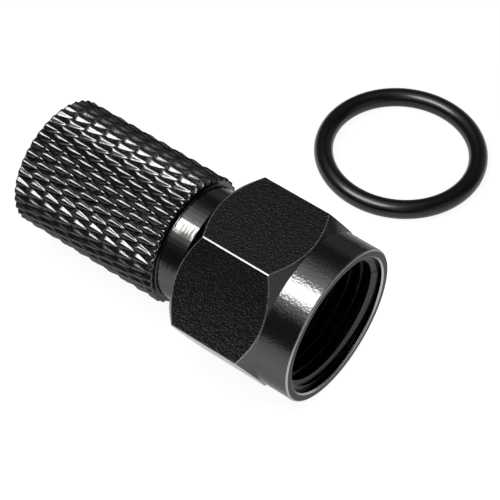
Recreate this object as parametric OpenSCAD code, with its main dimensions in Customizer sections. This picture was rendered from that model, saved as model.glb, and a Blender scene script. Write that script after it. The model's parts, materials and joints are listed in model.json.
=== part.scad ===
// Twist-on F connector for 7 mm coaxial cable, with its loose sealing ring.
//
// The connector's axis lies along X and the mouth of the nut faces +X. The
// origin is on the axis, in the plane of the nut's mouth. One flat of the
// hexagon faces down, so the connector lies on a plane half the flats' width
// below its axis. Millimetres.

/* [Nut outside] */
// Width across the spanner flats
nut_af = 11; // [10:0.1:13]
// Whole length of the nut
nut_l = 9.2; // [8:0.1:12]
// Length of the round collar at the mouth
collar_l = 2.4; // [1.5:0.1:3.5]
// How far the collar lies below the flats
collar_drop = 0.05; // [0.02:0.01:0.2]
// Round on the collar's mouth edge
rim_round = 0.2; // [0.1:0.05:0.3]
// How much is turned off the corners of the hexagon
corner_cut = 0.03; // [0.02:0.01:0.2]
// Diameter of the nut's rear face
nut_back_d = 10.9; // [9.6:0.1:11]

/* [Nut inside] */
// Outside diameter of the socket's 3/8-32 thread
thread_d = 9.525; // [9:0.025:9.8]
// Bore through the nut's thread crests
thread_bore_d = 8.76; // [8.7:0.02:8.9]
// Diametral clearance of the plain recess round the socket's thread
recess_clearance = 0.135; // [0.05:0.005:0.3]
// Depth of the plain recess at the mouth
recess_l = 0.4; // [0.3:0.1:1.5]
// Length of the cone that leads into the thread
lead_in_l = 0.3; // [0.1:0.05:0.35]
// Length of the threaded bore behind the lead-in
thread_l = 6; // [4:0.1:6]
// Diametral clearance of the undercut behind the thread
undercut_clearance = 0.2; // [0.1:0.05:0.4]
// Thickness of the nut's rear wall
nut_wall = 0.9; // [0.7:0.1:1]

/* [Sleeve] */
// Diameter of the smooth neck
neck_d = 8.1; // [7.6:0.1:8.4]
// Length of neck that shows between nut and knurl
neck_gap = 2.26; // [0.5:0.02:4]
// Radial running clearance between neck and nut
swivel_clearance = 0.08; // [0.05:0.01:0.1]
// Gap between the nut's rear wall and the lip
nut_play = 0.1; // [0.05:0.05:0.3]
// How far the flared lip stands out from the neck
lip_flare = 0.45; // [0.25:0.05:0.5]
// Thickness of the flared lip
lip_t = 0.5; // [0.4:0.05:0.6]
// Wall of the neck inside the lip
lip_wall = 0.5; // [0.4:0.05:0.7]
// Depth of the cup in front of the web
cup_l = 0.85; // [0.6:0.05:1]
// Thickness of the web that stops the cable's jacket
web_t = 0.9; // [0.6:0.1:1.5]
// Hole in the web for the cable's inner insulation
core_hole_d = 5; // [4.6:0.1:5.6]
// Bore that grips the cable's jacket
jacket_bore_d = 6.6; // [6:0.1:7]
// Width of the cone at the cable's entry
entry_cone = 0.45; // [0.2:0.05:0.6]

/* [Knurl] */
// Diameter over the points of the knurl
knurl_d = 9.15; // [9:0.05:10]
// Length of the knurled part
knurl_l = 11.54; // [8:0.02:16]
// Depth of the knurl's grooves
knurl_depth = 0.26; // [0.1:0.02:0.3]
// Diamonds round the sleeve
knurl_count = 38; // [24:1:48]
// Length of one diamond along the axis
diamond_l = 2.53; // [1.2:0.01:4]
// Broken edge at each end of the knurl
knurl_break = 0.1; // [0.05:0.05:0.2]
// Lean of the diamonds from the axis, in degrees
knurl_lean = 2.2; // [0:0.1:5]
// Turn of the first diamond about the axis, in degrees
knurl_turn = 7.8; // [0:0.1:9]

/* [Sealing ring] */
// Inside diameter of the ring
ring_bore = 9.6; // [8:0.1:10]
// Thickness of the ring's round section
ring_section = 1.35; // [1:0.05:2]
// Place of the ring's centre behind the mouth
ring_back = 7.8; // [0:0.1:12]
// Place of the ring's centre beside the axis
ring_side = 18.9; // [14:0.1:30]

/* [Hidden] */

// Overlap that makes cuts and unions run through each other
over = 1;
// Facets asked of a turned surface
turned_fn = 96;

// Nut
floor_z = -nut_af / 2;
collar_r = nut_af / 2 - collar_drop;
corner_r = nut_af / 2 / cos(30) - corner_cut;
nut_back_r = nut_back_d / 2;
recess_r = (thread_d + recess_clearance) / 2;
thread_bore_r = thread_bore_d / 2;
undercut_r = (thread_d + undercut_clearance) / 2;
thread_front_x = -recess_l - lead_in_l;
thread_back_x = thread_front_x - thread_l;
nut_wall_x = -nut_l + nut_wall;

// Sleeve
neck_r = neck_d / 2;
swivel_r = neck_r + swivel_clearance;
lip_back_x = nut_wall_x + nut_play;
lip_front_x = lip_back_x + lip_t;
lip_r = neck_r + lip_flare;
cup_r = neck_r - lip_wall;
web_front_x = lip_front_x - cup_l;
web_back_x = web_front_x - web_t;
core_hole_r = core_hole_d / 2;
jacket_bore_r = jacket_bore_d / 2;
knurl_front_x = -nut_l - neck_gap;
knurl_back_x = knurl_front_x - knurl_l;

// Knurl: a lattice of points on the cylinder and crossings in the grooves.
// Along the axis it has rows, half a diamond apart, and round the sleeve it
// has columns, half a diamond apart.
knurl_r = knurl_d / 2;
groove_r = knurl_r - knurl_depth;
rows_l = knurl_l - 2 * knurl_break;
row_count = round(rows_l / (diamond_l / 2));
row_pitch = rows_l / row_count;
column_count = 2 * knurl_count;
column_pitch = 360 / column_count;
row_lean = atan(row_pitch * tan(knurl_lean) / knurl_r);

// A cylinder or cone on the connector's axis from x0 forward to x1
module turned(x0, x1, r0, r1) {
    translate([x0, 0, 0])
        rotate([0, 90, 0])
            cylinder(r1 = r0, r2 = r1, h = x1 - x0, $fn = turned_fn);
}

// The half section of a disc whose front edge is rounded
module rounded_disc_section(r, l, edge) {
    square([r - edge, l]);
    square([r, l - edge]);
    translate([r - edge, l - edge])
        circle(r = edge, $fn = turned_fn);
}

// A disc with a rounded front edge, from x0 forward to x1
module rounded_disc(x0, x1, r, edge) {
    translate([x0, 0, 0])
        rotate([0, 90, 0])
            rotate_extrude($fn = turned_fn)
                intersection() {
                    rounded_disc_section(r, x1 - x0, edge);
                    square([r, x1 - x0]);
                }
}

// Hexagonal bar with one flat down
module hex_bar() {
    translate([-nut_l, 0, 0])
        rotate([0, 90, 0])
            rotate([0, 0, 30])
                cylinder(d = nut_af / cos(30), h = nut_l - collar_l / 2, $fn = 6);
}

// Body of revolution that chamfers both ends of the hexagon at 45 degrees
module chamfer_blank() {
    back_l = corner_r - nut_back_r;
    front_l = corner_r - collar_r;
    translate([-nut_l, 0, 0])
        rotate([0, 90, 0])
            rotate_extrude($fn = turned_fn)
                polygon([
                    [0, 0],
                    [nut_back_r, 0],
                    [corner_r, back_l],
                    [corner_r, nut_l - collar_l - front_l],
                    [collar_r, nut_l - collar_l],
                    [0, nut_l - collar_l]
                ]);
}

// Recess, lead-in, threaded bore, undercut and swivel hole of the nut
module nut_bores() {
    turned(-recess_l, over, recess_r, recess_r);
    turned(thread_front_x, -recess_l, thread_bore_r, thread_bore_r + lead_in_l);
    turned(thread_back_x - over / 2, thread_front_x + over / 2, thread_bore_r, thread_bore_r);
    turned(nut_wall_x, thread_back_x, undercut_r, undercut_r);
    turned(-nut_l - over, nut_wall_x + over / 2, swivel_r, swivel_r);
}

// Nut that draws the connector onto the socket, and that turns on the neck
module coupling_nut() {
    color("#2c2c29")
        difference() {
            union() {
                intersection() {
                    hex_bar();
                    chamfer_blank();
                }
                rounded_disc(-collar_l - over / 2, 0, collar_r, rim_round);
            }
            nut_bores();
        }
}

// Rows of the knurl from front to back, with the broken edge before and after
knurl_rows = [
    knurl_front_x,
    for (row = [0 : row_count]) knurl_front_x - knurl_break - row * row_pitch,
    knurl_back_x
];

// A row's number in the lattice: the end rows repeat the row beside them
function lattice_row(i) = min(max(i - 1, 0), row_count);

function is_point(i, column) = (lattice_row(i) + column) % 2 == 0;

function is_end(i) = i == 0 || i == row_count + 2;

function knurl_radius(i, column) =
    is_point(i, column) ? knurl_r - (is_end(i) ? knurl_break : 0) : groove_r;

function knurl_point(i, column) =
    let (
        turn = knurl_turn + column * column_pitch + lattice_row(i) * row_lean,
        r = knurl_radius(i, column)
    )
    [knurl_rows[i], r * cos(turn), r * sin(turn)];

// The two triangles of one lattice cell, parted along its groove
function knurl_cell(i, column) =
    let (
        next = (column + 1) % column_count,
        a = i * column_count + column,
        b = i * column_count + next,
        c = (i + 1) * column_count + next,
        d = (i + 1) * column_count + column
    )
    is_point(i, column) ? [[a, b, d], [b, c, d]] : [[a, b, c], [a, c, d]];

// Solid bar with the diamond knurl on it
module knurled_bar() {
    last = row_count + 2;
    points = [for (i = [0 : last], column = [0 : column_count - 1]) knurl_point(i, column)];
    cells = [
        for (i = [0 : last - 1], column = [0 : column_count - 1])
            each knurl_cell(i, column)
    ];
    front = [for (column = [column_count - 1 : -1 : 0]) column];
    back = [for (column = [0 : column_count - 1]) last * column_count + column];
    polyhedron(points = points, faces = concat(cells, [front, back]));
}

// Cup, web hole, jacket bore and entry cone of the sleeve
module sleeve_bores() {
    flare_l = lip_t * 0.9;
    turned(lip_front_x - flare_l, lip_front_x, cup_r, cup_r + lip_flare);
    turned(web_front_x, lip_front_x + over, cup_r, cup_r);
    turned(web_back_x - over / 2, web_front_x + over / 2, core_hole_r, core_hole_r);
    turned(knurl_back_x - over, web_back_x, jacket_bore_r, jacket_bore_r);
    turned(knurl_back_x, knurl_back_x + entry_cone, jacket_bore_r + entry_cone, jacket_bore_r);
}

// Turned sleeve: knurl, neck, flared lip and the web that stops the jacket
module knurled_sleeve() {
    color("#33332f")
        difference() {
            union() {
                knurled_bar();
                turned(knurl_front_x - over, lip_back_x + lip_t / 2, neck_r, neck_r);
                rounded_disc(lip_back_x, lip_front_x, lip_r, lip_t / 2);
            }
            sleeve_bores();
        }
}

// Rubber ring that seals the nut's mouth against the equipment, lying loose
module seal_ring() {
    color("#151515")
        translate([-ring_back, ring_side, floor_z + ring_section / 2])
            rotate_extrude($fn = turned_fn)
                translate([(ring_bore + ring_section) / 2, 0])
                    circle(d = ring_section, $fn = turned_fn);
}

coupling_nut();
knurled_sleeve();
seal_ring();
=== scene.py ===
"""Twist-on coaxial connector in black nickel, with its sealing ring lying beside it.

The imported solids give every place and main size. The shapes that the solids leave out are made here:
the fine edges, the nut's screw thread, the rounded diamonds of the knurl and the thread that grips the
cable. Shapes are modelled in millimetres and brought to metres when they are finished.
"""
import json
import math

import bpy
from mathutils import Matrix, Vector


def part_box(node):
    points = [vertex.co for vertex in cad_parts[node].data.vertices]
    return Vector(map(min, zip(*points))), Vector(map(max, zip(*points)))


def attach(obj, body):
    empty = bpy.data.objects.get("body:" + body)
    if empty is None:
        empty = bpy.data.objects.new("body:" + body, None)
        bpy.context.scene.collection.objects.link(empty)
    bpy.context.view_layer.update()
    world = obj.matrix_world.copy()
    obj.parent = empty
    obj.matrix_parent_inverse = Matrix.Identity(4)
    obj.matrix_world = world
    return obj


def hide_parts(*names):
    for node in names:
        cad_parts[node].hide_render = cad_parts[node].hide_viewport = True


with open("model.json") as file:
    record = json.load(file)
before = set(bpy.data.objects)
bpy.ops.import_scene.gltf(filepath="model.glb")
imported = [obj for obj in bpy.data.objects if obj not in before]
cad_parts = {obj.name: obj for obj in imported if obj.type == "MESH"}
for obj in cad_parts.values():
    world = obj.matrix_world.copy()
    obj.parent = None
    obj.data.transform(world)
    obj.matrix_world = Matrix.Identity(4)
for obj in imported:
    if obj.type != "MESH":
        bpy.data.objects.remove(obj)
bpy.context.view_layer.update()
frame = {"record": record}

MM = 0.001
ROUND = 2 * math.pi


# ---- Sizes, in millimetres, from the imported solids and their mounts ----

def corners(node):
    """A node's lowest and highest corner in millimetres."""
    low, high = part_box(node)
    return Vector(low) / MM, Vector(high) / MM


MOUNTS = {mount["name"]: mount for mount in frame["record"]["mounts"]}


def mount_radius(name):
    """A mount's radius in millimetres."""
    return MOUNTS[name]["dims"]["r_mm"]


def mount_front(name):
    """A mount's place along the axis in millimetres."""
    return MOUNTS[name]["pos_m"][0] / MM


def mount_length(name):
    """A mount's length in millimetres."""
    return MOUNTS[name]["dims"]["length_mm"]


nut_low, nut_high = corners("coupling_nut")
sleeve_low, sleeve_high = corners("knurled_sleeve")
ring_low, ring_high = corners("seal_ring")

FLATS = nut_high.z - nut_low.z
FLOOR_Z = nut_low.z
NUT_BACK_X = nut_low.x
CORNER_R = nut_high.y
RECESS_R = mount_radius("mouth_recess")
RECESS_BACK_X = -mount_length("mouth_recess")
CREST_R = mount_radius("socket_thread")
THREAD_FRONT_X = mount_front("socket_thread")
THREAD_BACK_X = THREAD_FRONT_X - mount_length("socket_thread")
JACKET_R = mount_radius("jacket_bore")
JACKET_BACK_X = mount_front("jacket_bore")
WEB_BACK_X = JACKET_BACK_X + mount_length("jacket_bore")
CORE_R = mount_radius("core_hole")
WEB_FRONT_X = WEB_BACK_X + mount_length("core_hole")

# The nut's sizes that no mount gives
COLLAR_DROP = 0.05
COLLAR_R = FLATS / 2 - COLLAR_DROP
COLLAR_L = 2.4
RIM_ROUND = 0.14
MOUTH_CHAMFER = 0.1
NUT_BACK_R = 5.45
LEAD_IN_DEPTH = 0.36
LEAD_IN_L = 0.1
UNDERCUT_R = 4.8625
NUT_WALL = 0.9
SWIVEL_R = 4.13
HEX_ROUND = 0.16
EDGE_BREAK = 0.08

# The 3/8-32 thread: 32 turns an inch, with 60 degrees between its flanks
THREAD_PITCH = 25.4 / 32
ROOT_R = 4.77
ROOT_FLAT = THREAD_PITCH / 8
FLANK = math.radians(30)

# The sleeve's sizes that no mount gives
NUT_PLAY = 0.1
NECK_R = 4.05
NECK_FILLET = 0.08
LIP_R = 4.5
LIP_T = 0.5
LIP_FLARE_L = 0.45
CUP_R = 3.55

# The knurl's lattice, before its rounding draws the diamonds' tops in to about 4.56
GROOVE_R = 4.33
KNURL_R = 4.7
KNURL_DEPTH = KNURL_R - GROOVE_R
KNURL_FRONT_X = -11.46
KNURL_BACK_X = sleeve_low.x
KNURL_BREAK = 0.1
KNURL_END_DROP = 0.26
KNURL_COUNT = 38
KNURL_ROWS = 9
KNURL_TURN = math.radians(7.8)
KNURL_LEAN = math.radians(2.2)

# The thread that grips the jacket: its groove tapers from GRIP_MOUTH to GRIP_ROOT in width
GRIP_PITCH = 1.25
GRIP_DEPTH = 0.3
GRIP_MOUTH = GRIP_PITCH * 0.72
GRIP_ROOT = GRIP_PITCH * 0.16
GRIP_PLAIN_L = 2.4

# Cutters run past what they cut by this much
OVERRUN = 0.1
THREAD_OVERRUN = 0.6

# Places closer than TOLERANCE count as the same, and on a ring or a seam closer than RING_TOLERANCE.
# Vertices closer than DOUBLED are merged.
TOLERANCE = 0.01
RING_TOLERANCE = 0.001
DOUBLED = 0.0005


# ---- Bench work: small helpers for modelling by hand ----

def only(piece):
    """Leaves one object selected and active."""
    bpy.ops.object.select_all(action="DESELECT")
    piece.select_set(True)
    bpy.context.view_layer.objects.active = piece


def edit(kind="VERT"):
    """Opens the active object for editing by vertex, edge or face."""
    bpy.ops.object.mode_set(mode="EDIT")
    bpy.ops.mesh.select_mode(type=kind)


def done():
    """Closes the object that was being edited."""
    bpy.ops.object.mode_set(mode="OBJECT")


def select_vertices(piece, wanted):
    """Opens a piece for editing with the vertices selected whose place is wanted."""
    edit()
    bpy.ops.mesh.select_all(action="DESELECT")
    done()
    for vertex in piece.data.vertices:
        vertex.select = wanted(vertex.co)
    edit()


def select_edges(piece, wanted):
    """Opens a piece for editing with the edges selected whose two ends are wanted."""
    edit()
    bpy.ops.mesh.select_all(action="DESELECT")
    done()
    places = [vertex.co for vertex in piece.data.vertices]
    for edge in piece.data.edges:
        edge.select = wanted(*(places[i] for i in edge.vertices))
    bpy.ops.object.mode_set(mode="EDIT")
    bpy.context.tool_settings.mesh_select_mode = (False, True, False)


def radius(place):
    """Distance from the connector's axis."""
    return math.hypot(place.y, place.z)


def started(piece, name):
    """Names a new object and its mesh."""
    piece.name = name
    piece.data.name = name
    return piece


def close_up(piece):
    """Merges doubled vertices and turns every face outwards."""
    only(piece)
    edit()
    bpy.ops.mesh.select_all(action="SELECT")
    bpy.ops.mesh.remove_doubles(threshold=DOUBLED)
    bpy.ops.mesh.normals_make_consistent(inside=False)
    done()


def drawn(name, points):
    """A closed line in the plane of the axis: one point, extruded to the next (x, radius) in turn."""
    bpy.ops.object.select_all(action="DESELECT")
    bpy.ops.mesh.primitive_plane_add(size=1)
    line = started(bpy.context.object, name)
    edit()
    bpy.ops.mesh.select_all(action="SELECT")
    bpy.ops.mesh.merge(type="CENTER")
    x, r = points[0]
    bpy.ops.transform.translate(value=(x, 0, r))
    for next_x, next_r in points[1:] + points[:1]:
        step = (next_x - x, 0, next_r - r)
        bpy.ops.mesh.extrude_region_move(TRANSFORM_OT_translate={"value": step})
        x, r = next_x, next_r
    bpy.ops.mesh.select_all(action="SELECT")
    bpy.ops.mesh.remove_doubles(threshold=DOUBLED)
    done()
    return line


def turned(name, points, steps=160):
    """A piece turned in the lathe: its half section spun about the axis."""
    piece = drawn(name, points)
    edit()
    bpy.ops.mesh.select_all(action="SELECT")
    bpy.ops.mesh.spin(steps=steps, angle=ROUND, center=(0, 0, 0), axis=(1, 0, 0))
    done()
    close_up(piece)
    return piece


def arc(x, r, size, start, end, steps=4):
    """Points of a round of that size about (x, r), from one angle to another in degrees."""
    angles = [math.radians(start + (end - start) * i / steps) for i in range(steps + 1)]
    return [(x + size * math.cos(a), r + size * math.sin(a)) for a in angles]


def combine(piece, tool, operation):
    """Cuts a piece with a tool, or keeps only what they share, and puts the tool away."""
    only(piece)
    bpy.ops.object.modifier_add(type="BOOLEAN")
    modifier = piece.modifiers[-1]
    modifier.operation = operation
    modifier.solver = "EXACT"
    modifier.object = tool
    bpy.ops.object.modifier_apply(modifier=modifier.name)
    only(tool)
    bpy.ops.object.delete()
    only(piece)


def thread_cutter(name, section, pitch, start_x, end_x, steps=96):
    """A right-handed screw form of that section, which runs from start_x forward past end_x."""
    tool = drawn(name, [(start_x + x, r) for x, r in section])
    only(tool)
    bpy.ops.object.modifier_add(type="SCREW")
    modifier = tool.modifiers[-1]
    modifier.axis = "X"
    modifier.screw_offset = pitch
    modifier.iterations = math.ceil((end_x - start_x) / pitch)
    modifier.steps = steps
    modifier.render_steps = steps
    bpy.ops.object.modifier_apply(modifier=modifier.name)
    edit()
    bpy.ops.mesh.select_all(action="SELECT")
    bpy.ops.mesh.fill_holes(sides=len(section))
    done()
    close_up(tool)
    return tool


def bevel_sharp(piece, width, angle, segments):
    """Breaks every edge that is sharper than angle, in degrees."""
    only(piece)
    bpy.ops.object.modifier_add(type="BEVEL")
    modifier = piece.modifiers[-1]
    modifier.width = width
    modifier.segments = segments
    modifier.limit_method = "ANGLE"
    modifier.angle_limit = math.radians(angle)
    bpy.ops.object.modifier_apply(modifier=modifier.name)


def smooth(piece, angle):
    """Smooth shading, with edges sharper than angle kept and big faces kept flat."""
    only(piece)
    bpy.ops.object.shade_smooth_by_angle(angle=math.radians(angle))
    bpy.ops.object.modifier_add(type="WEIGHTED_NORMAL")
    modifier = piece.modifiers[-1]
    modifier.keep_sharp = True
    bpy.ops.object.modifier_apply(modifier=modifier.name)


def paint(piece, material, wanted=None):
    """Gives a material to the whole piece, or to the faces whose centre and normal are wanted."""
    piece.data.materials.append(material)
    index = len(piece.data.materials) - 1
    for face in piece.data.polygons:
        if wanted is None or wanted(face.center, face.normal):
            face.material_index = index


def to_metres(piece):
    """Brings a finished piece from millimetres to metres."""
    only(piece)
    piece.scale = (MM, MM, MM)
    bpy.ops.object.transform_apply(location=True, rotation=True, scale=True)


# ---- Finishes ----

def linear(colour):
    """A hex sRGB colour as linear red, green, blue and alpha."""
    values = [int(colour[i:i + 2], 16) / 255 for i in (1, 3, 5)]
    return [v / 12.92 if v <= 0.04045 else ((v + 0.055) / 1.055) ** 2.4 for v in values] + [1]


def add(tree, kind, sockets={}, **settings):
    """Adds a node with its settings, and gives its sockets values or links."""
    node = tree.nodes.new("ShaderNode" + kind)
    for name, value in settings.items():
        setattr(node, name, value)
    for name, value in sockets.items():
        socket = node.inputs[name]
        if isinstance(value, bpy.types.NodeSocket):
            tree.links.new(value, socket)
        else:
            socket.default_value = value
    return node


def new_material(name):
    """A material with nothing but its output and its principled shader."""
    material = bpy.data.materials.new(name)
    material.use_nodes = True
    tree = material.node_tree
    tree.nodes.clear()
    shader = add(tree, "BsdfPrincipled")
    add(tree, "OutputMaterial", {"Surface": shader.outputs["BSDF"]})
    return material, tree, shader


def millimetres(tree, scale=(1, 1, 1)):
    """Object coordinates in millimetres, stretched by scale."""
    place = add(tree, "TexCoord")
    grown = add(tree, "Mapping", {"Vector": place.outputs["Object"],
                                  "Scale": [share / MM for share in scale]})
    return grown.outputs["Vector"]


def noise(tree, vector, size, detail=2.0, roughness=0.5):
    """Noise whose grains are about size millimetres."""
    node = add(tree, "TexNoise", {"Vector": vector, "Scale": 1 / size,
                                  "Detail": detail, "Roughness": roughness})
    return node.outputs["Fac"]


def spread(tree, value, low, high, from_low=0.3, from_high=0.7):
    """A value spread over the range from low to high. Noise mostly lies between 0.3 and 0.7."""
    node = add(tree, "MapRange", {"Value": value, "From Min": from_low, "From Max": from_high,
                                  "To Min": low, "To Max": high})
    return node.outputs["Result"]


def bump(tree, height, depth):
    """A bump whose height of one stands for depth millimetres."""
    node = add(tree, "Bump", {"Height": height, "Distance": depth * MM, "Strength": 1.0})
    return node.outputs["Normal"]


def blend(tree, share, first, second):
    """A colour that goes from the first to the second as share goes from 0 to 1."""
    node = add(tree, "Mix", {"Factor": share, "A": first, "B": second}, data_type="RGBA")
    return node.outputs["Result"]


BLACK_NICKEL = "#4b4b4a"
DARK_NICKEL = "#414140"
PALE_NICKEL = "#565654"
# The next colour darkens a duller patch on the neck under its highlight.
DULL_PATCH_NICKEL = "#2c2c2b"
# The next colour is darker, as painted shade in the nut's thread.
THREAD_SHADE_NICKEL = "#3a3a39"
# The next colour is darker still, as painted shade in the nut's mouth.
MOUTH_SHADE_NICKEL = "#262625"
# The next colour is paler, for painted highlights along the nut's edges and cones.
EDGE_GLINT_NICKEL = "#9a9a98"
GRAZING_TINT = "#d0d0d0"


def black_nickel(name, colour=BLACK_NICKEL):
    """Black nickel plating over brass: a dark mirror, which stays rather dark at a glancing angle."""
    material, tree, shader = new_material(name)
    shader.inputs["Base Color"].default_value = linear(colour)
    shader.inputs["Metallic"].default_value = 1
    shader.inputs["Specular Tint"].default_value = linear(GRAZING_TINT)
    return material, tree, shader


def black_nickel_turned():
    """The nut's turned faces: smooth, with a few fine specks in the plating."""
    material, tree, shader = black_nickel("black_nickel_turned")
    specks = noise(tree, millimetres(tree), size=0.16)
    stains = noise(tree, millimetres(tree), size=0.8, detail=3)
    tree.links.new(spread(tree, stains, low=0.13, high=0.18), shader.inputs["Roughness"])
    tree.links.new(bump(tree, specks, depth=0.014), shader.inputs["Normal"])
    return material


# The darker, duller patch on the neck under its highlight: its middle, its reach round and along, and
# its ragged edge
DULL_PATCH_ANGLE = math.radians(139)
DULL_PATCH_SPREAD = math.radians(20.5)
DULL_PATCH_X = -10.4
DULL_PATCH_LENGTH = 0.85
DULL_PATCH_RAGGED = 2.4
DULL_PATCH_EDGE = (2.05, 2.3)


def black_nickel_brushed():
    """The sleeve's turned faces: streaked round the axis, which draws each highlight into threads, and
    darker and duller in a patch on the neck under its highlight.
    """
    material, tree, shader = black_nickel("black_nickel_brushed")
    place = millimetres(tree)
    streaks = noise(tree, millimetres(tree, scale=(1, 0.05, 0.05)), size=0.06, detail=3)
    parts = add(tree, "SeparateXYZ", {0: place})
    angle = add(tree, "Math", {0: parts.outputs["Z"], 1: parts.outputs["Y"]}, operation="ARCTAN2")
    round_by = add(tree, "MapRange", {"Value": angle.outputs[0], "From Min": DULL_PATCH_ANGLE,
                                      "From Max": DULL_PATCH_ANGLE + DULL_PATCH_SPREAD}, clamp=False)
    along_by = add(tree, "MapRange", {"Value": parts.outputs["X"], "From Min": DULL_PATCH_X,
                                      "From Max": DULL_PATCH_X + DULL_PATCH_LENGTH}, clamp=False)
    offset = add(tree, "CombineXYZ", {0: round_by.outputs[0], 1: along_by.outputs[0]})
    reach = add(tree, "VectorMath", {0: offset.outputs[0]}, operation="LENGTH")
    ragged = add(tree, "Math", {0: streaks, 1: DULL_PATCH_RAGGED, 2: reach.outputs["Value"]},
                 operation="MULTIPLY_ADD")
    dull_patch = spread(tree, ragged.outputs[0], 1.0, 0.0, *DULL_PATCH_EDGE)
    clean = spread(tree, streaks, low=0.1, high=0.17)
    rough = add(tree, "Mix", {"Factor": dull_patch, "A": clean, "B": 0.3})
    patch_colour = blend(tree, dull_patch, linear(BLACK_NICKEL), linear(DULL_PATCH_NICKEL))
    tree.links.new(patch_colour, shader.inputs["Base Color"])
    tree.links.new(rough.outputs["Result"], shader.inputs["Roughness"])
    tree.links.new(bump(tree, streaks, depth=0.003), shader.inputs["Normal"])
    return material


# Width of the paler line along the cones, a painted highlight, and the roughness of the flats and of
# that line
GLINT_LINE_WIDTH = 0.1
SATIN = 0.06
GLINT_LINE_ROUGH = 0.45


def black_nickel_drawn():
    """The drawn bar's flats: satin, with a painted highlight: a paler line along both cones.

    The real grain is finer. It is drawn as coarse as it needs to show.
    """
    material, tree, shader = black_nickel("black_nickel_drawn")
    parts = add(tree, "SeparateXYZ", {0: millimetres(tree)})
    across = add(tree, "CombineXYZ", {1: parts.outputs["Y"], 2: parts.outputs["Z"]})
    out = add(tree, "VectorMath", {0: across.outputs[0]}, operation="LENGTH").outputs["Value"]
    # On a cone of 45 degrees the way along the axis, less or plus the way out, is the same everywhere
    back = add(tree, "Math", {0: parts.outputs["X"], 1: out}, operation="SUBTRACT")
    front = add(tree, "Math", {0: parts.outputs["X"], 1: out}, operation="ADD")
    back_cone = NUT_BACK_X - NUT_BACK_R
    front_cone = COLLAR_R - COLLAR_L
    glint_back = spread(tree, back.outputs[0], 1.0, 0.0, back_cone, back_cone + GLINT_LINE_WIDTH)
    glint_front = spread(tree, front.outputs[0], 0.0, 1.0, front_cone - GLINT_LINE_WIDTH, front_cone)
    glint_line = add(tree, "Math", {0: glint_back, 1: glint_front}, operation="MAXIMUM")
    grain = noise(tree, millimetres(tree), size=0.14)
    tint = blend(tree, spread(tree, grain, low=0.0, high=1.0), linear(DARK_NICKEL), linear(PALE_NICKEL))
    # The paler line along the cones is a painted highlight.
    colour = blend(tree, glint_line.outputs[0], tint, linear(EDGE_GLINT_NICKEL))
    tree.links.new(colour, shader.inputs["Base Color"])
    tree.links.new(bump(tree, grain, depth=0.036), shader.inputs["Normal"])
    rough = spread(tree, glint_line.outputs[0], SATIN, GLINT_LINE_ROUGH, 0.0, 1.0)
    tree.links.new(rough, shader.inputs["Roughness"])
    return material


def black_nickel_rubbed():
    """Edges of the nut's roundings and of the rim, painted paler: a painted highlight for the light
    lines that the sheet's reflection draws along them.
    """
    material, tree, shader = black_nickel("black_nickel_rubbed", EDGE_GLINT_NICKEL)
    wear = noise(tree, millimetres(tree), size=0.3, detail=3)
    tree.links.new(spread(tree, wear, low=0.2, high=0.4), shader.inputs["Roughness"])
    tree.links.new(bump(tree, wear, depth=0.01), shader.inputs["Normal"])
    return material


def black_nickel_tapped():
    """The nut's thread: torn a little by the tap, so it scatters what light comes in, and painted
    darker than the plating as shade inside the nut.
    """
    material, tree, shader = black_nickel("black_nickel_tapped", THREAD_SHADE_NICKEL)
    tears = noise(tree, millimetres(tree, scale=(1, 0.2, 0.2)), size=0.1, detail=3)
    tree.links.new(bump(tree, tears, depth=0.02), shader.inputs["Normal"])
    shader.inputs["Roughness"].default_value = 0.3
    return material


def black_nickel_bored():
    """The bored faces inside the mouth and the rim's front face, painted darker than the plating:
    painted shade for the dark mouth.
    """
    material, tree, shader = black_nickel("black_nickel_bored", MOUTH_SHADE_NICKEL)
    rings = noise(tree, millimetres(tree, scale=(1, 0.1, 0.1)), size=0.08, detail=3)
    tree.links.new(bump(tree, rings, depth=0.006), shader.inputs["Normal"])
    shader.inputs["Roughness"].default_value = 0.22
    return material


def black_nickel_rolled():
    """The rolled knurl: bright facets, smeared a little by the rollers."""
    material, tree, shader = black_nickel("black_nickel_rolled")
    smear = noise(tree, millimetres(tree), size=0.25, detail=4, roughness=0.6)
    rough = spread(tree, smear, 0.09, 0.32, from_low=0.42, from_high=0.66)
    tree.links.new(rough, shader.inputs["Roughness"])
    tree.links.new(bump(tree, smear, depth=0.012), shader.inputs["Normal"])
    return material


BLACK_RUBBER = "#050505"
RUBBER_IOR = 1.5
RUBBER_SPECULAR = 0.37


def black_rubber_moulded():
    """Black nitrile rubber from a polished mould: nearly black, with a soft gloss."""
    material, tree, shader = new_material("black_rubber_moulded")
    bloom = noise(tree, millimetres(tree), size=1.5)
    tree.links.new(spread(tree, bloom, low=0.22, high=0.27), shader.inputs["Roughness"])
    tree.links.new(bump(tree, bloom, depth=0.004), shader.inputs["Normal"])
    shader.inputs["Base Color"].default_value = linear(BLACK_RUBBER)
    shader.inputs["IOR"].default_value = RUBBER_IOR
    shader.inputs["Specular IOR Level"].default_value = RUBBER_SPECULAR
    return material


# ---- Coupling nut ----

BAR_L = 40


def hexagonal_bar():
    """Drawn bar with one flat down and its long edges slightly rounded."""
    half_side = math.radians(30)
    bpy.ops.object.select_all(action="DESELECT")
    bpy.ops.mesh.primitive_cylinder_add(
        vertices=6, radius=FLATS / 2 / math.cos(half_side), depth=BAR_L,
        rotation=(0, math.radians(90), 0))
    bpy.ops.object.transform_apply(location=True, rotation=True, scale=True)
    bar = started(bpy.context.object, "hexagonal_bar")
    select_edges(bar, lambda a, b: abs(a.x - b.x) > BAR_L / 2)
    bpy.ops.mesh.bevel(offset=HEX_ROUND * math.tan(half_side), segments=6, affect="EDGES")
    done()
    return bar


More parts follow.
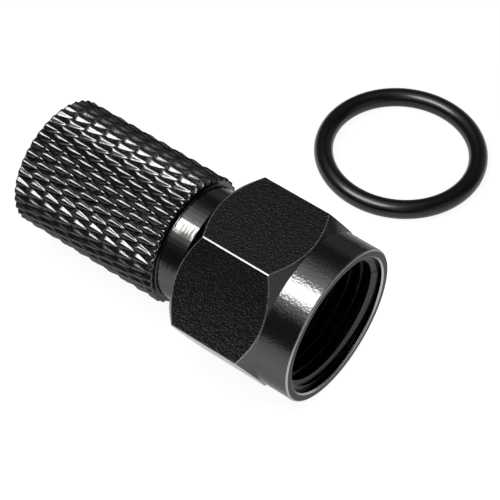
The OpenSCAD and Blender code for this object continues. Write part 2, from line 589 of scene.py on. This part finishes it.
def nut_section():
    """Half section of the nut as the lathe leaves it, from the mouth round the outside and back."""
    cone_l = CORNER_R - NUT_BACK_R
    front_l = CORNER_R - COLLAR_R
    wall_x = NUT_BACK_X + NUT_WALL
    outside = (
        [(0, RECESS_R + MOUTH_CHAMFER)]
        + arc(-RIM_ROUND, COLLAR_R - RIM_ROUND, RIM_ROUND, 0, 90)
        + [(-COLLAR_L, COLLAR_R), (-COLLAR_L - front_l, CORNER_R), (NUT_BACK_X + cone_l, CORNER_R)]
        + [(NUT_BACK_X, NUT_BACK_R)]
    )
    inside = [
        (NUT_BACK_X, SWIVEL_R),
        (wall_x, SWIVEL_R),
        (wall_x, UNDERCUT_R),
        (THREAD_BACK_X, UNDERCUT_R),
        (THREAD_BACK_X, CREST_R),
        (RECESS_BACK_X - LEAD_IN_L, CREST_R),
        (RECESS_BACK_X, CREST_R + LEAD_IN_DEPTH),
        (RECESS_BACK_X, RECESS_R),
        (-MOUTH_CHAMFER, RECESS_R),
    ]
    return outside + inside


def nut_thread():
    """Cutter for the socket's thread, from the undercut out into the recess."""
    half_root = ROOT_FLAT / 2
    half_crest = half_root + (ROOT_R - CREST_R) * math.tan(FLANK)
    inner_r = CREST_R - OVERRUN
    start_x = THREAD_BACK_X - THREAD_OVERRUN
    end_x = RECESS_BACK_X + 2 * OVERRUN
    section = [
        (-half_crest, inner_r),
        (half_crest, inner_r),
        (half_crest, CREST_R),
        (half_root, ROOT_R),
        (-half_root, ROOT_R),
        (-half_crest, CREST_R),
    ]
    return thread_cutter("nut_thread", section, THREAD_PITCH, start_x, end_x)


# A face's lean is how far its normal points along the axis, from 0 to 1. A flat's is at most LEVEL, a
# rounding's lies between its two values, and the rim's front face leans more than the rim's rounding.
LEVEL = 0.02
HEX_ROUNDED = (0.15, 0.6)
RIM_ROUNDED = (0.3, 0.97)
BEHIND_EDGE = 0.03


def on_flat(centre, normal):
    """True for a face that lies in one of the six flats."""
    if abs(normal.x) > LEVEL or centre.x > -COLLAR_L:
        return False
    out = Vector((0, centre.y, centre.z)).dot(normal)
    return abs(out - FLATS / 2) < TOLERANCE


# The faces chosen here are painted paler, as a painted highlight along the edges.
def on_glinting_edge(centre, normal):
    """True for a face of the rounding between a flat and a cone, or of the rim's two edges."""
    lean = abs(normal.x)
    if centre.x > -RIM_ROUND and radius(centre) > CREST_R:
        return RIM_ROUNDED[0] < lean < RIM_ROUNDED[1]
    on_hexagon = centre.x < -COLLAR_L - BEHIND_EDGE and radius(centre) > COLLAR_R
    return on_hexagon and HEX_ROUNDED[0] < lean < HEX_ROUNDED[1]


def in_mouth(centre, normal):
    """True for the rim's front face and for the recess and lead-in behind it."""
    on_rim = centre.x > -TOLERANCE and normal.x > RIM_ROUNDED[1]
    behind_rim = THREAD_BACK_X < centre.x < -MOUTH_CHAMFER - BEHIND_EDGE
    return on_rim or (behind_rim and radius(centre) < RECESS_R + TOLERANCE)


def in_thread(centre, normal):
    """True for a face of the socket's thread, up to its roots."""
    front_x = RECESS_BACK_X - LEAD_IN_L - TOLERANCE
    return radius(centre) < ROOT_R + 2 * TOLERANCE and THREAD_BACK_X < centre.x < front_x


def coupling_nut():
    """The nut: turned, kept to the hexagonal bar, its edges broken and its thread tapped."""
    nut = turned("coupling_nut_dressed", nut_section())
    combine(nut, hexagonal_bar(), "INTERSECT")
    bevel_sharp(nut, EDGE_BREAK, angle=20, segments=3)
    combine(nut, nut_thread(), "DIFFERENCE")
    smooth(nut, angle=30)
    paint(nut, black_nickel_turned())
    paint(nut, black_nickel_drawn(), on_flat)
    # The edges get a painted highlight.
    paint(nut, black_nickel_rubbed(), on_glinting_edge)
    # The mouth and the rim's face get painted shade.
    paint(nut, black_nickel_bored(), in_mouth)
    # The thread gets painted shade.
    paint(nut, black_nickel_tapped(), in_thread)
    to_metres(nut)
    return nut


# ---- Knurled sleeve ----

ROW_PITCH = (KNURL_FRONT_X - KNURL_BACK_X - 2 * KNURL_BREAK) / KNURL_ROWS
COLUMN_PITCH = ROUND / (2 * KNURL_COUNT)
ROW_LEAN = math.atan(ROW_PITCH * math.tan(KNURL_LEAN) / KNURL_R)
# The diamonds' flat tops, as shares of the way from point to groove: sideways, forward and back
TOP_WIDTH = 0.43
TOP_FRONT = 0.85
TOP_BACK = 0.245
# The tips stand at least this share of a row ahead of or behind their row
TIP_LEAST = 0.2
# How far the rollers drag the points round the sleeve
POINT_SHIFT = math.radians(0.45)
# How sharp the edges stay when the knurl is rounded
FACET_CREASE = 0.32
RIDGE_CREASE = 0.6


def extrude_ring(x, r, next_x, next_r, turn=0.0):
    """Extrudes the selected ring along the axis to a new radius, and turns it."""
    bpy.ops.mesh.extrude_region_move(TRANSFORM_OT_translate={"value": (next_x - x, 0, 0)})
    if next_r != r:
        bpy.ops.transform.resize(value=(1, next_r / r, next_r / r), center_override=(next_x, 0, 0))
    if turn:
        bpy.ops.transform.rotate(value=-turn, orient_axis="X", center_override=(next_x, 0, 0))


def sleeve_blank():
    """The sleeve with smooth rows where its knurl comes, from the knurl's front round and through."""
    front = KNURL_FRONT_X - KNURL_BREAK
    rows = [(front, GROOVE_R, 0)]
    rows += [(front - i * ROW_PITCH, GROOVE_R, ROW_LEAN) for i in range(1, KNURL_ROWS + 1)]
    entry = JACKET_BACK_X - KNURL_BACK_X
    lip_back = NUT_BACK_X + NUT_WALL + NUT_PLAY
    lip_front = lip_back + LIP_T
    round_r = LIP_T / 2
    lip_round = arc(lip_front - round_r, LIP_R - round_r, round_r, 0, 90, 5)
    fillet = arc(KNURL_FRONT_X + NECK_FILLET, NECK_R + NECK_FILLET, NECK_FILLET, 270, 180)
    plain = [
        (KNURL_BACK_X, GROOVE_R),
        (KNURL_BACK_X, JACKET_R + entry),
        (JACKET_BACK_X, JACKET_R),
        (WEB_BACK_X, JACKET_R),
        (WEB_BACK_X, CORE_R),
        (WEB_FRONT_X, CORE_R),
        (WEB_FRONT_X, CUP_R),
        (lip_front - LIP_FLARE_L, CUP_R),
        *lip_round,
        (lip_back, LIP_R),
        (lip_back, NECK_R),
        *fillet,
        (KNURL_FRONT_X, GROOVE_R),
    ]
    stations = rows + [(x, r, 0) for x, r in plain]
    x, r, turn = stations[0]
    bpy.ops.object.select_all(action="DESELECT")
    bpy.ops.mesh.primitive_circle_add(
        vertices=2 * KNURL_COUNT, radius=GROOVE_R, fill_type="NOTHING",
        location=(x, 0, 0), rotation=(0, math.radians(90), 0))
    bpy.ops.object.transform_apply(location=True, rotation=True, scale=True)
    blank = started(bpy.context.object, "knurled_sleeve_dressed")
    edit()
    bpy.ops.mesh.select_all(action="SELECT")
    bpy.ops.transform.rotate(value=-KNURL_TURN, orient_axis="X", center_override=(x, 0, 0))
    for next_x, next_r, turn in stations[1:]:
        extrude_ring(x, r, next_x, next_r, turn)
        x, r = next_x, next_r
    whole_turn = KNURL_ROWS * ROW_LEAN
    bpy.ops.transform.rotate(value=whole_turn, orient_axis="X", center_override=(x, 0, 0))
    extrude_ring(x, r, front, GROOVE_R)
    done()
    close_up(blank)
    return blank


def knurl_row(place):
    """Number of the knurl's row that a place lies in, and the same row for its broken edges."""
    return min(max(round((KNURL_FRONT_X - KNURL_BREAK - place.x) / ROW_PITCH), 0), KNURL_ROWS)


def on_knurl(place):
    """True outside the knurl's grooves, from its front face back."""
    return place.x < KNURL_FRONT_X + TOLERANCE and radius(place) > GROOVE_R - TOLERANCE


def is_point(place):
    """True for the vertices of the lattice that stand up as the diamonds' points."""
    if not on_knurl(place):
        return False
    row = knurl_row(place)
    turn = math.atan2(place.z, place.y) - KNURL_TURN - row * ROW_LEAN
    return (round(turn / COLUMN_PITCH) + row) % 2 == 0


def raise_diamonds(sleeve):
    """Pulls the points of the diamonds out of the smooth rows and folds the rows along the grooves."""
    ends = (KNURL_FRONT_X, KNURL_BACK_X)

    def at_end(place):
        """True on the knurl's two end faces."""
        return min(abs(place.x - end) for end in ends) < TOLERANCE

    for wanted, r in ((lambda p: not at_end(p), KNURL_R), (at_end, KNURL_R - KNURL_END_DROP)):
        select_vertices(sleeve, lambda p: is_point(p) and wanted(p))
        bpy.ops.transform.resize(value=(1, r / GROOVE_R, r / GROOVE_R), center_override=(0, 0, 0))
        done()
    select_vertices(sleeve, is_point)
    bpy.ops.transform.rotate(value=POINT_SHIFT, orient_axis="X", center_override=(0, 0, 0))
    done()
    select_vertices(sleeve, lambda p: on_knurl(p) and radius(p) < GROOVE_R + TOLERANCE)
    bpy.ops.mesh.vert_connect()
    done()
    select_vertices(sleeve, lambda p: is_point(p) and not at_end(p))
    bpy.ops.mesh.bevel(offset_type="PERCENT", offset_pct=100 * TOP_WIDTH, affect="VERTICES")
    done()
    slide_tips(sleeve, -1, TOP_BACK)
    slide_tips(sleeve, 1, TOP_FRONT)


def slide_tips(sleeve, side, share):
    """Slides the flat tops' front (1) or back (-1) tips along their ridges, to that share of them."""

    def is_tip(place):
        """True for a flat top's tip on the wanted side of its row."""
        off_row = (place.x - KNURL_FRONT_X + KNURL_BREAK) / ROW_PITCH + knurl_row(place)
        return on_knurl(place) and off_row * side > TIP_LEAST

    step = side * (share - TOP_WIDTH)
    drawn_in = (KNURL_R - KNURL_DEPTH * share) / (KNURL_R - KNURL_DEPTH * TOP_WIDTH)
    select_vertices(sleeve, is_tip)
    bpy.ops.transform.translate(value=(step * ROW_PITCH, 0, 0))
    bpy.ops.transform.resize(value=(1, drawn_in, drawn_in), center_override=(0, 0, 0))
    bpy.ops.transform.rotate(value=step * ROW_LEAN, orient_axis="X", center_override=(0, 0, 0))
    done()


def crease(piece, wanted, value):
    """Keeps the wanted edges that sharp when the surface is rounded."""
    select_edges(piece, wanted)
    bpy.ops.transform.edge_crease(value=value)
    done()


def round_knurl(sleeve):
    """Rounds the turned sleeve and softens the diamonds, as rolling leaves them."""

    def inside(place):
        """True on the knurl, but not on its end faces."""
        return on_knurl(place) and KNURL_BACK_X + TOLERANCE < place.x < KNURL_FRONT_X - TOLERANCE

    def along_ring(a, b):
        """True for an edge that runs round the axis."""
        return abs(a.x - b.x) < RING_TOLERANCE

    crease(sleeve, lambda a, b: along_ring(a, b) and not (inside(a) and inside(b)), 1)
    crease(sleeve, lambda a, b: inside(a) and inside(b) and along_ring(a, b), RIDGE_CREASE)
    crease(sleeve, lambda a, b: inside(a) and inside(b) and not along_ring(a, b), FACET_CREASE)
    only(sleeve)
    bpy.ops.object.modifier_add(type="SUBSURF")
    modifier = sleeve.modifiers[-1]
    modifier.levels = 2
    modifier.render_levels = 2
    bpy.ops.object.modifier_apply(modifier=modifier.name)


def grip_thread():
    """Cutter for the coarse thread that grips the cable's jacket."""
    half_root = GRIP_ROOT / 2
    half_crest = GRIP_MOUTH / 2
    inner_r = JACKET_R - OVERRUN
    root_r = JACKET_R + GRIP_DEPTH
    start_x = KNURL_BACK_X - THREAD_OVERRUN
    end_x = WEB_BACK_X - GRIP_PLAIN_L
    section = [
        (-half_crest, inner_r),
        (half_crest, inner_r),
        (half_crest, JACKET_R),
        (half_root, root_r),
        (-half_root, root_r),
        (-half_crest, JACKET_R),
    ]
    return thread_cutter("grip_thread", section, GRIP_PITCH, start_x, end_x)


def knurled_sleeve():
    """The sleeve: turned, knurled between rollers, and threaded inside for the cable."""
    sleeve = sleeve_blank()
    raise_diamonds(sleeve)
    round_knurl(sleeve)
    combine(sleeve, grip_thread(), "DIFFERENCE")
    smooth(sleeve, angle=35)
    paint(sleeve, black_nickel_brushed())
    paint(sleeve, black_nickel_rolled(), lambda centre, normal: on_knurl(centre))
    to_metres(sleeve)
    return sleeve


# ---- Sealing ring ----

SEAM_WIDTH = 0.03


def sealing_ring():
    """Moulded ring with the faint line where the halves of its mould met."""
    centre = (ring_low + ring_high) / 2
    thickness = ring_high.z - ring_low.z
    middle_r = (ring_high.x - ring_low.x - thickness) / 2
    bpy.ops.object.select_all(action="DESELECT")
    bpy.ops.mesh.primitive_torus_add(
        major_segments=160, minor_segments=40, location=centre,
        major_radius=middle_r, minor_radius=thickness / 2)
    bpy.ops.object.transform_apply(location=True, rotation=True, scale=True)
    ring = started(bpy.context.object, "seal_ring_dressed")

    def on_seam(a, b):
        """True for an edge on the line where the mould's halves met."""
        return max(abs(a.z - centre.z), abs(b.z - centre.z)) < RING_TOLERANCE

    select_edges(ring, on_seam)
    bpy.ops.mesh.bevel(offset=SEAM_WIDTH, segments=2, affect="EDGES")
    done()
    smooth(ring, angle=40)
    paint(ring, black_rubber_moulded())
    to_metres(ring)
    return ring


# ---- Studio ----

VIEW_TURN = 35.934
VIEW_DOWN = 49.091
VIEW_ROLL = 1.719
VIEW_PLACE = (-5.534, 4.780, 127.034)
LENS = 146.35


def camera():
    """Long lens from the front right, looking down, at the angle of a catalogue view."""
    bpy.ops.object.camera_add()
    view = bpy.context.object
    view.name = "catalogue_camera"
    turn = Matrix.Rotation(math.radians(VIEW_TURN), 4, "Z")
    tilt = Matrix.Rotation(math.radians(90 - VIEW_DOWN), 4, "X")
    roll = Matrix.Rotation(math.radians(VIEW_ROLL), 4, "Z")
    place = Matrix.Translation(Vector(VIEW_PLACE) * MM)
    view.matrix_world = turn @ tilt @ roll @ place
    view.data.lens = LENS
    view.data.clip_start = 5 * MM
    bpy.context.scene.camera = view


# The white sheet. To the eye PLAIN_WHITE of it is white, and the rest shows the object's shadow. In the
# metal it shines: fully up to the first LIT_RADIUS and at UNLIT past the second, in metres from the
# middle, NEAR_LIGHT times as strongly inside the first NEAR_RADIUS, and down to SHADE under the object.
FLOOR_SIZE = 4
PAPER = "#f2f2f2"
PLAIN_WHITE = 0.94
LIT_RADIUS = (0.03, 0.08)
UNLIT = 0.1
NEAR_RADIUS = (0.012, 0.028)
NEAR_LIGHT = 1.4
SHADE_REACH = 0.006
SHADE = 0.4


def white_floor():
    """White sheet: white to the eye and in the metal's reflections, with a faint shadow."""
    bpy.ops.object.select_all(action="DESELECT")
    bpy.ops.mesh.primitive_plane_add(size=FLOOR_SIZE, location=(0, 0, FLOOR_Z * MM))
    sheet = started(bpy.context.object, "white_floor")
    edit("FACE")
    bpy.ops.mesh.select_all(action="SELECT")
    bpy.ops.mesh.subdivide(number_cuts=3)
    done()
    material = bpy.data.materials.new("white_paper_sheet")
    material.use_nodes = True
    tree = material.node_tree
    tree.nodes.clear()
    paper = add(tree, "BsdfDiffuse", {"Color": linear(PAPER)})
    path = add(tree, "LightPath")
    seen = add(tree, "Math", {0: path.outputs["Is Camera Ray"], 1: path.outputs["Is Transmission Ray"]},
               operation="MAXIMUM")
    plain = add(tree, "Math", {0: seen.outputs[0], 1: PLAIN_WHITE}, operation="MULTIPLY")
    share = add(tree, "Math", {0: plain.outputs[0], 1: path.outputs["Is Glossy Ray"]},
                operation="MAXIMUM")
    place = add(tree, "TexCoord")
    away = add(tree, "VectorMath", {0: place.outputs["Object"]}, operation="LENGTH")
    lit = spread(tree, away.outputs["Value"], 1.0, UNLIT, *LIT_RADIUS)
    near = spread(tree, away.outputs["Value"], NEAR_LIGHT, 1.0, *NEAR_RADIUS)
    bright_near = add(tree, "Math", {0: lit, 1: near}, operation="MULTIPLY")
    open_to = add(tree, "AmbientOcclusion", {"Distance": SHADE_REACH}, samples=8)
    shade = spread(tree, open_to.outputs["AO"], SHADE, 1.0, 0.0, 1.0)
    shaded = add(tree, "Math", {0: bright_near.outputs[0], 1: shade}, operation="MULTIPLY")
    strength = add(tree, "Math", {0: shaded.outputs[0], 1: seen.outputs[0]}, operation="MAXIMUM")
    bright = add(tree, "Emission", {"Color": (1, 1, 1, 1), "Strength": strength.outputs[0]})
    surface = add(tree, "MixShader", {0: share.outputs[0], 1: paper.outputs[0], 2: bright.outputs[0]})
    add(tree, "OutputMaterial", {"Surface": surface.outputs[0]})
    sheet.data.materials.append(material)


KEY_TOWARDS = Vector((-0.2, -0.375, 0.905)).normalized()
KEY_TARGET = (-10, 2, 0)
KEY_DISTANCE = 0.4
KEY_SIZE = (0.28, 0.17)
KEY_RADIANCE = 16

# The room in the metal: dark, with the softbox's glow overhead, a wall behind, a brighter wall before
# the mouth, and light spilt high up on the near side. Each pair is the range of X, Y or Z, in a
# direction one long, over which a light comes up or fades.
ROOM = 0.1
GLOW_TOWARDS = Vector((-0.3, -0.03, 0.95)).normalized()
GLOW_TIGHTNESS = 16.0
GLOW = 1.8
WALL = 0.2
WALL_Y = (0.8, 0.84)
FRONT_WALL = 0.5
FRONT_WALL_X = (0.8, 0.9)
SPILL = 1.2
SPILL_Z = (0.5, 0.66)
SPILL_Y = (-0.6, -0.5)
# The world's plain light on what isn't metal
FILL = 0.12


def key_softbox():
    """Softbox above and a little in front, which gives the long bright bands."""
    place = Vector(KEY_TARGET) * MM + KEY_TOWARDS * KEY_DISTANCE
    bpy.ops.object.light_add(type="AREA", location=place)
    lamp = bpy.context.object
    lamp.name = "key_softbox"
    across = KEY_TOWARDS.cross(Vector((1, 0, 0))).normalized()
    along = across.cross(KEY_TOWARDS)
    lamp.rotation_euler = Matrix((along, across, KEY_TOWARDS)).transposed().to_euler()
    lamp.data.shape = "RECTANGLE"
    lamp.data.size, lamp.data.size_y = KEY_SIZE
    lamp.data.energy = KEY_RADIANCE * math.pi * KEY_SIZE[0] * KEY_SIZE[1]


def studio_world():
    """White all round to the eye, and in the metal the room as it is described above."""
    world = bpy.data.worlds.new("studio")
    bpy.context.scene.world = world
    world.use_nodes = True
    tree = world.node_tree
    tree.nodes.clear()
    way = add(tree, "TexCoord").outputs["Generated"]
    path = add(tree, "LightPath")
    parts = add(tree, "SeparateXYZ", {"Vector": way})
    below = add(tree, "Math", {0: parts.outputs["Z"], 1: 0.0}, operation="LESS_THAN")
    near = add(tree, "VectorMath", {0: way, 1: GLOW_TOWARDS}, operation="DOT_PRODUCT")
    facing = add(tree, "Math", {0: near.outputs["Value"], 1: 0.0}, operation="MAXIMUM")
    glow = add(tree, "Math", {0: facing.outputs[0], 1: GLOW_TIGHTNESS}, operation="POWER")
    lit_room = add(tree, "Math", {0: glow.outputs[0], 1: GLOW, 2: ROOM}, operation="MULTIPLY_ADD")
    far_wall = spread(tree, parts.outputs["Y"], 0.0, WALL, *WALL_Y)
    walls = spread(tree, parts.outputs["X"], far_wall, FRONT_WALL, *FRONT_WALL_X)
    above = spread(tree, parts.outputs["Z"], walls, SPILL, *SPILL_Z)
    spilt = spread(tree, parts.outputs["Y"], above, walls, *SPILL_Y)
    walled = add(tree, "Math", {0: lit_room.outputs[0], 1: spilt}, operation="ADD")
    room = add(tree, "Math", {0: walled.outputs[0], 1: below.outputs[0]}, operation="MAXIMUM")
    dark = add(tree, "Background", {"Color": (1, 1, 1, 1), "Strength": room.outputs[0]})
    plain = add(tree, "Background", {"Color": (1, 1, 1, 1), "Strength": FILL})
    white = add(tree, "Background", {"Color": (1, 1, 1, 1), "Strength": 1})
    lit = add(tree, "MixShader", {0: path.outputs["Is Glossy Ray"],
                                  1: plain.outputs[0], 2: dark.outputs[0]})
    seen = add(tree, "Math", {0: path.outputs["Is Camera Ray"], 1: path.outputs["Is Transmission Ray"]},
               operation="MAXIMUM")
    surface = add(tree, "MixShader", {0: seen.outputs[0], 1: lit.outputs[0], 2: white.outputs[0]})
    add(tree, "OutputWorld", {"Surface": surface.outputs[0]})


# ---- The connector put together ----

bpy.context.scene.view_settings.view_transform = "Standard"
camera()
white_floor()
key_softbox()
studio_world()

nut = coupling_nut()
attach(nut, "nut")
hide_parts("coupling_nut")

sleeve = knurled_sleeve()
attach(sleeve, "sleeve")
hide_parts("knurled_sleeve")

ring = sealing_ring()
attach(ring, "nut")
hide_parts("seal_ring")
